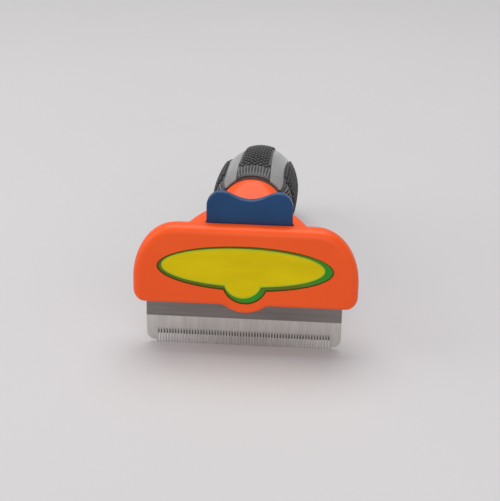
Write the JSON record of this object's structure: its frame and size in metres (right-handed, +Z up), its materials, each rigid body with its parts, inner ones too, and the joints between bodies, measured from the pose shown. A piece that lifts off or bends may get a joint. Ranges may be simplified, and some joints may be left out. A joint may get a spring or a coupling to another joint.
{
  "type": "deshedding tool",
  "caption": "T-shaped pet grooming comb: a fine-toothed steel blade on a wide orange head, a sprung blue hair ejector, and a curved rubber-padded grip.",
  "frame": {"origin": "middle of the tool's footprint at the height of the surface it stands on, touched by the blade's teeth and the underside of the butt", "axes": "+Z up; +Y from the badge on the head back towards the butt of the handle; +X across the head, to the right of someone looking at the badge"},
  "size_m": [0.076, 0.149, 0.0574],
  "materials": {
    "orange_plastic": "satin moulded plastic",
    "green_plate": "gloss",
    "yellow_plate": "gloss",
    "blade_steel": "satin ground steel",
    "screw_steel": "zinc plated",
    "blue_plastic": "satin moulded plastic",
    "spring_steel": "bright wire",
    "grey_plastic": "smooth moulded plastic",
    "black_rubber": "matte, studded"
  },
  "bodies": {
    "tool": {"front_cover": "orange_plastic", "body_frame": "orange_plastic", "badge_backing": "green_plate", "badge_face": "yellow_plate", "blade": "blade_steel", "blade_screws": "screw_steel", "cover_screws": "screw_steel", "return_spring_left": "spring_steel", "return_spring_right": "spring_steel", "spring_pins": "spring_steel", "handle_top_shell": "grey_plastic", "handle_bottom_shell": "grey_plastic", "top_grip_pad": "black_rubber", "left_grip_pad": "black_rubber", "right_grip_pad": "black_rubber", "finger_grip_pad": "black_rubber", "handle_screws": "screw_steel"},
    "ejector": {"ejector_button": "blue_plastic", "ejector_wiper": "blue_plastic", "ejector_screws": "screw_steel"}
  },
  "joints": [
    {"name": "ejector_slide", "type": "slide", "parent": "tool", "child": "ejector", "axis": [0, 0, -1], "range_m": [0, 0.0075], "stiffness_N_per_m": 900, "springref_m": -0.002, "deforming": ["return_spring_left", "return_spring_right"]}
  ]
}
